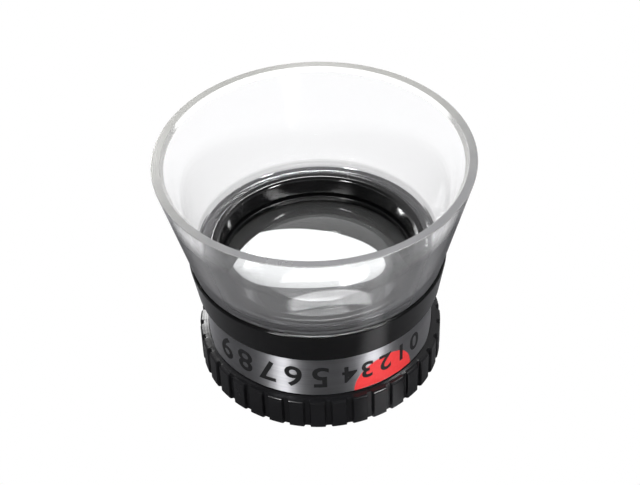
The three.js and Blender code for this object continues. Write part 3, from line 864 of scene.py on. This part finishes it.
sizes = ("Radius", "Pitch", "Turns", "Foot", "Depth")
threading, entry = new_tree("thread", {
    **{size: "NodeSocketFloat" for size in sizes}, "Material": "NodeSocketMaterial"})
climb = add_node(threading, "ShaderNodeMath", {
    0: entry["Pitch"], 1: entry["Turns"]}, operation="MULTIPLY").outputs[0]
helix = add_node(threading, "GeometryNodeCurveSpiral", {
    "Resolution": HELIX_STEPS, "Rotations": entry["Turns"], "Start Radius": entry["Radius"],
    "End Radius": entry["Radius"], "Height": climb}).outputs[0]
lift = add_node(threading, "ShaderNodeCombineXYZ", {2: entry["Foot"]}).outputs[0]
raised = add_node(threading, "GeometryNodeTransform", {"Geometry": helix, "Translation": lift}).outputs[0]
upright = add_node(threading, "GeometryNodeSetCurveNormal", {0: raised}, mode="Z_UP").outputs[0]
ridge = add_node(threading, "GeometryNodeCurvePrimitiveQuadrilateral", {}, mode="POINTS")
for name, depth, share in (
        ("Point 1", 0.0, -THREAD_ROOT_SHARE), ("Point 2", entry["Depth"], -THREAD_CREST_SHARE),
        ("Point 3", entry["Depth"], THREAD_CREST_SHARE), ("Point 4", 0.0, THREAD_ROOT_SHARE)):
    rise = add_node(threading, "ShaderNodeMath", {
        0: entry["Pitch"], 1: share}, operation="MULTIPLY").outputs[0]
    spot = add_node(threading, "ShaderNodeCombineXYZ", {0: depth, 1: rise}).outputs[0]
    threading.links.new(spot, ridge.inputs[name])
coil = add_node(threading, "GeometryNodeCurveToMesh", {
    "Curve": upright, "Profile Curve": ridge.outputs[0], "Fill Caps": True}).outputs[0]
end_tree(threading, coil, entry["Material"])


def thread(name, radius, depth, foot, turns):
    values = {"Radius": radius * MM, "Pitch": THREAD_PITCH * MM, "Turns": turns, "Foot": foot * MM,
              "Depth": depth * MM, "Material": black_abs}
    mesh = grow(name, threading, values)
    print(name, "thread:", turns, "turns,", len(mesh.vertices), "points")
    return show(name, mesh)


spigot_thread = thread("barrel_thread", radius=SPIGOT_RADIUS - THREAD_SINK, depth=0.28, foot=2.05, turns=2.6)
seat(spigot_thread, "housing", "black_gloss")

# %% [markdown]
# ## Ribbed ring
#
# Thirty-six ribs run round the ring, broad and flat with narrow grooves between, and they give the fingers
# their grip. One rib with its share of the ring is modelled in mesh code: a row of points for each of a
# few places across the rib, closer together where the rib falls into the groove. A tree then places it
# thirty-six times round the axis and merges the copies, so the whole ring is one closed skin with every
# rib alike.

# %% One rib and its share of the ring
RIB_COUNT = 36
FIRST_RIB_DEGREES = -2.8
RIB_TIP = 14.4
RIB_ROOT = 13.95
RIB_TIP_SHARE = 0.62
GROOVE_SHARE = 0.22
TIP_SHARES = (0.0, 0.1, 0.2, 0.27, 0.295)
SLOPE_SHARES = (0.31, 0.322, 0.336, 0.35, 0.364, 0.378, 0.39)
GROOVE_SHARES = (0.42, 0.5)
RIB_TOP = 4.25
FOOT_ROUND, FOOT_STEPS = 0.32, 4
TOP_ROUND_IN, TOP_ROUND_DOWN, TOP_STEPS = 0.42, 0.3, 6
RING_LIP = ((13.6, 0.08), (13.45, 0.0), (13.35, 0.0), (13.28, 0.05))  # radius and depth under the top
RING_BORE = 13.18
RING_BORE_CHAMFER = 0.18
RING_FLOOR = 1.4
APERTURE = 10.6
APERTURE_EASE = 0.06
APERTURE_LAND = 0.4
COUNTERSINK = 0.75
rib_pitch = 2 * math.pi / RIB_COUNT


def rib_reach(share):
    low, high = RIB_TIP_SHARE / 2, (1 - GROOVE_SHARE) / 2
    t = min(1.0, max(0.0, (abs(share) - low) / (high - low)))
    return RIB_TIP - (RIB_TIP - RIB_ROOT) * t * t * (3 - 2 * t)


def ring_row(share):
    reach = rib_reach(share)
    row = []
    for step in range(FOOT_STEPS + 1):
        a = math.radians(90 * step / FOOT_STEPS)
        row.append((min(reach, RIB_TIP - FOOT_ROUND * (1 - math.sin(a))), FOOT_ROUND * (1 - math.cos(a))))
    row += [(reach, FOOT_ROUND + GUARD), (reach, RIB_TOP - TOP_ROUND_DOWN - GUARD)]
    for step in range(TOP_STEPS + 1):
        a = math.radians(90 * step / TOP_STEPS)
        row.append((min(reach, RIB_TIP - TOP_ROUND_IN * (1 - math.cos(a))),
                    RIB_TOP - TOP_ROUND_DOWN * (1 - math.sin(a))))
    row += [(r, RING_TOP - down) for r, down in RING_LIP]
    return row + [
        (RING_BORE, RING_TOP - RING_BORE_CHAMFER), (RING_BORE, RING_FLOOR + SEAT_GAP),
        (RING_BORE - SEAT_GAP, RING_FLOOR), (APERTURE + APERTURE_EASE, RING_FLOOR),
        (APERTURE, RING_FLOOR - APERTURE_EASE), (APERTURE, RING_FLOOR - APERTURE_LAND),
        (APERTURE + COUNTERSINK, FINE_ROUND), (APERTURE + COUNTERSINK + SMALL_ROUND, 0.0),
    ]


half_shares = [*TIP_SHARES, *SLOPE_SHARES, *GROOVE_SHARES]
shares = [-s for s in reversed(half_shares[1:])] + half_shares
rows = [ring_row(share) for share in shares]
points = []
for share, row in zip(shares, rows):
    turned = share * rib_pitch
    points += [(r * MM * math.sin(turned), -r * MM * math.cos(turned), z * MM) for r, z in row]
span = len(rows[0])
faces = [(c * span + k, c * span + (k + 1) % span, (c + 1) * span + (k + 1) % span, (c + 1) * span + k)
         for c in range(len(shares) - 1) for k in range(span)]
sector = bpy.data.meshes.new("rib_sector")
sector.from_pydata(points, [], faces)
print("one rib:", len(faces), "faces")

# %% Thirty-six ribs make the ring
ringing, entry = new_tree("ring_of_ribs", {
    "Count": "NodeSocketInt", "First Angle": "NodeSocketFloat", "Material": "NodeSocketMaterial"})
spots = add_node(ringing, "GeometryNodePoints", {"Count": entry["Count"], "Position": (0, 0, 0)}).outputs[0]
index = add_node(ringing, "GeometryNodeInputIndex").outputs[0]
step = add_node(ringing, "ShaderNodeMath", {0: 2 * math.pi, 1: entry["Count"]}, operation="DIVIDE").outputs[0]
turned = add_node(ringing, "ShaderNodeMath", {
    0: index, 1: step, 2: entry["First Angle"]}, operation="MULTIPLY_ADD")
heading = add_node(ringing, "ShaderNodeCombineXYZ", {2: turned.outputs[0]}).outputs[0]
placed = add_node(ringing, "GeometryNodeInstanceOnPoints", {
    "Points": spots, "Instance": entry["Geometry"], "Rotation": heading}).outputs[0]
end_tree(ringing, placed, entry["Material"])
ring_mesh = grow("ribbed_ring", ringing, {
    "Count": RIB_COUNT, "First Angle": math.radians(FIRST_RIB_DEGREES),
    "Material": black_abs_handled}, sector)
ribbed_ring = show("ribbed_ring", ring_mesh, sharp_degrees=35)
seat(ribbed_ring, "lower_ring", "black_gloss", "knurled_ring")
ring_thread = thread("ribbed_ring_thread", radius=RING_BORE + THREAD_SINK, depth=-0.12, foot=2.1, turns=2.2)
seat(ring_thread, "lower_ring", "black_gloss")
print("ribbed ring:", len(ring_mesh.vertices), "points")

# %% [markdown]
# ## Lenses
#
# Each lens is a line from the axis out over one face, up the ground edge and back along the other face.
# The faces are parts of spheres, so their points come from the circle's equation. Small bevels keep the
# edge from chipping. The upper lens bulges on both sides, the lower one is flat underneath.

# %% Lenses
OBJECTIVE_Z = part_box("objective_lens")[0].z / MM
OBJECTIVE_EDGE = 1.0
OBJECTIVE_SPHERE = 18.1
OBJECTIVE_FLAT_STEPS = 12
EYE_BOTTOM, EYE_TOP = (corner.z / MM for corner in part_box("eye_lens"))
EYE_UPPER_SPHERE = 24.0
EYE_LOWER_SPHERE = 32.0
EDGE_BEVEL = 0.12
EDGE_BAND = 0.2
LOOKS_ALONG_AXIS = 0.9
EDGE_SLOT = 1
DOME_STEPS = 56


def sag(sphere, radius):
    return sphere - math.sqrt(sphere ** 2 - radius ** 2)


def dome(sphere, pole_z, side):
    widest = math.asin((LENS_RADIUS - EDGE_BEVEL) / sphere)
    angles = [widest * (1 - step / DOME_STEPS) for step in range(DOME_STEPS + 1)]
    return [Vector((sphere * math.sin(a), pole_z - side * sphere * (1 - math.cos(a)))) for a in angles]


def ground_edge(low, high):
    return [Vector((LENS_RADIUS, low + EDGE_BEVEL)), Vector((LENS_RADIUS, high - EDGE_BEVEL))]


def lens(name, line, face_glass, node):
    piece = turn(name, line, face_glass, closed=False)
    piece.data.materials.append(ground_glass)
    for face in piece.data.polygons:
        out = math.hypot(face.center.x, face.center.y)
        if out > (LENS_RADIUS - EDGE_BAND) * MM and abs(face.normal.z) < LOOKS_ALONG_AXIS:
            face.material_index = EDGE_SLOT
    seat(piece, "lens_stack", "lens_glass", node)


eye_edge = ground_edge(EYE_BOTTOM + sag(EYE_LOWER_SPHERE, LENS_RADIUS),
                       EYE_TOP - sag(EYE_UPPER_SPHERE, LENS_RADIUS))
eye_line = [*reversed(dome(EYE_LOWER_SPHERE, EYE_BOTTOM, -1)), *eye_edge, *dome(EYE_UPPER_SPHERE, EYE_TOP, 1)]
lens("upper_lens", eye_line, crown_glass, "eye_lens")

objective_rim = OBJECTIVE_Z + OBJECTIVE_EDGE
objective_top = objective_rim + sag(OBJECTIVE_SPHERE, LENS_RADIUS)
flat_radius = LENS_RADIUS - EDGE_BEVEL
flat_face = [Vector((flat_radius * step / OBJECTIVE_FLAT_STEPS, OBJECTIVE_Z))
             for step in range(OBJECTIVE_FLAT_STEPS + 1)]
objective_line = [*flat_face, *ground_edge(OBJECTIVE_Z, objective_rim),
                  *dome(OBJECTIVE_SPHERE, objective_top, 1)]
lens("lower_lens", objective_line, coated_glass, "objective_lens")

# %% [markdown]
# ## Spacer and cushion
#
# The spacer holds the lenses apart and carries a stop that bounds the view. Its bore has fine grooves that
# trap stray light, made in the section itself as a saw-tooth line. The rubber cushion is a plain ring with
# the thin flash line that its mould leaves round the outside.

# %% Spacer
SPACER_FOOT, SPACER_TOP = (corner.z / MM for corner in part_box("lens_spacer"))
SPACER_RADIUS = 11.95
SPACER_CHAMFER_IN, SPACER_CHAMFER_UP = 0.25, 0.2
SPACER_BORE = 11.25
STOP_RADIUS = 9.0
STOP_Z = (EYE_BOTTOM + objective_top) / 2
STOP_HALF = 0.4
STOP_EDGE_HALF = 0.15
GROOVE_PITCH = 0.4
GROOVE_DEPTH = 0.12


def grooves(start, end):
    count = max(1, round(abs(end - start) / GROOVE_PITCH))
    line = []
    for groove in range(count):
        z = start + (end - start) * groove / count
        line += [(SPACER_BORE, z), (SPACER_BORE + GROOVE_DEPTH, z + (end - start) / count / 2)]
    return line + [(SPACER_BORE, end)]


spacer_section = [Vector(p) for p in (
    (SPACER_RADIUS - SPACER_CHAMFER_IN, SPACER_FOOT), (SPACER_RADIUS, SPACER_FOOT + SPACER_CHAMFER_UP),
    (SPACER_RADIUS, SPACER_TOP - SPACER_CHAMFER_UP), (SPACER_RADIUS - SPACER_CHAMFER_IN, SPACER_TOP),
    *grooves(SPACER_TOP, STOP_Z + STOP_HALF),
    (STOP_RADIUS, STOP_Z + STOP_EDGE_HALF), (STOP_RADIUS, STOP_Z - STOP_EDGE_HALF),
    *grooves(STOP_Z - STOP_HALF, SPACER_FOOT))]
spacer = turn("spacer_tube", spacer_section, matt_paint, segments=192)
seat(spacer, "lens_stack", "black_matt", "lens_spacer")

# %% Cushion
cushion_low, cushion_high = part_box("lens_cushion")
CUSHION_HALF = (cushion_high.z - cushion_low.z) / MM / 2
CUSHION_RADIUS = cushion_high.x / MM - CUSHION_HALF
CUSHION_Z = (cushion_high.z + cushion_low.z) / MM / 2
FLASH_SHARE = 0.04
CUSHION_STEPS = 24
cushion_section = []
for step in range(CUSHION_STEPS):
    a = 2 * math.pi * step / CUSHION_STEPS
    reach = CUSHION_HALF if step in (0, CUSHION_STEPS // 2) else CUSHION_HALF * (1 - FLASH_SHARE)
    cushion_section.append(Vector((CUSHION_RADIUS + reach * math.cos(a), CUSHION_Z + reach * math.sin(a))))
cushion = turn("rubber_cushion", cushion_section, nitrile, segments=160)
seat(cushion, "lens_stack", "black_rubber", "lens_cushion")

# %% [markdown]
# ## Label
#
# The label is a strip of foil with round ends, stuck round the front of the neck. It is drawn flat first,
# as a strip of narrow columns, and then wrapped: the length along the strip becomes an angle round the axis.
# The print is wrapped in the same way, after upright cuts that let its wide faces follow the curve. It is
# a plain scale of numbers with a red half-round mark, and like the strip on the real loupe it reads the
# right way up when the loupe is held with the cup down.

# %% Wrapping round the neck
LABEL_RADIUS = 13.4
LABEL_THICKNESS = 0.14
LABEL_HALF_SPAN = math.radians(73)
LABEL_MARGIN = 0.15
LABEL_ROUND_SHARE = 0.9
SLICE = 0.3


def wrap(shape, inner_radius):
    for vert in shape.verts:
        along, height, rise = vert.co
        turned = along / LABEL_RADIUS
        reach = inner_radius + rise
        vert.co = Vector((reach * math.sin(turned), -reach * math.cos(turned), height)) * MM


def slice_upright(shape):
    low = min(v.co.x for v in shape.verts)
    high = max(v.co.x for v in shape.verts)
    for cut in range(1, int((high - low) / SLICE) + 1):
        everything = [*shape.verts, *shape.edges, *shape.faces]
        bmesh.ops.bisect_plane(shape, geom=everything, plane_co=(low + cut * SLICE, 0, 0), plane_no=(1, 0, 0))


def wrapped(name, shape, inner_radius, material):
    wrap(shape, inner_radius)
    mesh = bpy.data.meshes.new(name)
    shape.to_mesh(mesh)
    shape.free()
    outward(mesh)
    mesh.materials.clear()
    mesh.materials.append(material)
    return mesh


label_low, label_high = NECK_FOOT + LABEL_MARGIN, COLLAR_FOOT - LABEL_MARGIN
label_middle = (label_low + label_high) / 2
label_half_height = (label_high - label_low) / 2
label_half = LABEL_RADIUS * LABEL_HALF_SPAN
label_round = label_half_height * LABEL_ROUND_SHARE
print("label", round(2 * label_half, 1), "mm long,", round(2 * label_half_height, 2), "mm high")

# %% Foil strip
EDGE_EASE = 0.04
COLUMNS = 180
COLUMN_CROWDING = 1.3  # over 1 puts the columns closer together at the round ends
ROW_SHARE = 0.33

shape = bmesh.new()
loops = []
for column in range(COLUMNS + 1):
    share = column / COLUMNS * 2 - 1
    along = label_half * math.copysign(1 - (1 - abs(share)) ** COLUMN_CROWDING, share)
    into = max(0.0, abs(along) - (label_half - label_round))
    drop = label_round - math.sqrt(max(0.0, label_round ** 2 - into ** 2))
    half = label_half_height - drop
    side_z = LABEL_THICKNESS - EDGE_EASE
    front_ys = (-(half - EDGE_EASE), -half * ROW_SHARE, half * ROW_SHARE, half - EDGE_EASE)
    front = [(y, LABEL_THICKNESS) for y in front_ys]
    loop = [(-half, 0.0), (-half, side_z), *front, (half, side_z), (half, 0.0)]
    loops.append([shape.verts.new((along, label_middle + y, rise)) for y, rise in loop])
for before, after in zip(loops, loops[1:]):
    for k in range(len(before)):
        j = (k + 1) % len(before)
        shape.faces.new((before[k], before[j], after[j], after[k]))
shape.faces.new(loops[0])
shape.faces.new(list(reversed(loops[-1])))
label = show("label_foil", wrapped("label_foil", shape, LABEL_RADIUS, foil), sharp_degrees=20)
seat(label, "housing", "silver_foil", "label_band")
print("foil", len(label.data.vertices), "points")

# %% Numbers and mark
INK_THICKNESS = 0.03
INK_SINK = 0.01
INK_MERGE = 0.002
STROKE_SWELL = 0.07
NUMERAL_SHARE = 0.7  # a numeral's height as a share of its type size
CURVE_STEPS = 6
BIG_NUMERALS, BIG_HEIGHT = {"5": -1, "6": -14, "7": -27, "8": -40, "9": -53}, 3.1
SMALL_NUMERALS, SMALL_HEIGHT = {"0": 52, "1": 42, "2": 32, "3": 22, "4": 13}, 2.4
MARK_DEGREES = 32
MARK_RADIUS = 3.9
MARK_MARGIN = 0.08
MARK_STEPS = 32
MARK_THICKNESS_SHARE = 0.7  # thinner than the numbers, so that they lie on it


def print_on_label(name, shape, material):
    bmesh.ops.remove_doubles(shape, verts=shape.verts, dist=INK_MERGE)
    slice_upright(shape)
    piece = show(name, wrapped(name, shape, LABEL_RADIUS + LABEL_THICKNESS - INK_SINK, material))
    seat(piece, "housing", "silver_foil")
    print(name, len(piece.data.vertices), "points")


def numeral(text, height, along_degrees):
    curve = bpy.data.curves.new("numeral", "FONT")
    curve.body = text
    curve.align_x = "CENTER"
    curve.align_y = "CENTER"
    curve.size = height / NUMERAL_SHARE
    curve.offset = STROKE_SWELL
    curve.extrude = INK_THICKNESS / 2
    curve.resolution_u = CURVE_STEPS
    holder = bpy.data.objects.new("numeral", curve)
    mesh = plain_mesh(holder)
    bpy.data.objects.remove(holder)
    upside_down = Matrix.Rotation(math.pi, 4, "Z")
    along = LABEL_RADIUS * math.radians(along_degrees)
    mesh.transform(Matrix.Translation((along, label_middle, INK_THICKNESS / 2)) @ upside_down)
    return mesh


shape = bmesh.new()
for numerals, height in ((BIG_NUMERALS, BIG_HEIGHT), (SMALL_NUMERALS, SMALL_HEIGHT)):
    for text, degrees in numerals.items():
        shape.from_mesh(numeral(text, height, degrees))
print_on_label("label_numbers", shape, ink_black)

shape = bmesh.new()
mark_along = LABEL_RADIUS * math.radians(MARK_DEGREES)
mark_foot = label_low + MARK_MARGIN
outline = []
for step in range(MARK_STEPS + 1):
    a = math.pi * step / MARK_STEPS
    spot = (mark_along + MARK_RADIUS * math.cos(a), mark_foot + MARK_RADIUS * math.sin(a), 0.0)
    outline.append(shape.verts.new(spot))
face = shape.faces.new(outline)
raised = bmesh.ops.extrude_face_region(shape, geom=[face])["geom"]
lifted = [v for v in raised if isinstance(v, bmesh.types.BMVert)]
bmesh.ops.translate(shape, verts=lifted, vec=(0, 0, INK_THICKNESS * MARK_THICKNESS_SHARE))
print_on_label("label_mark", shape, ink_red)
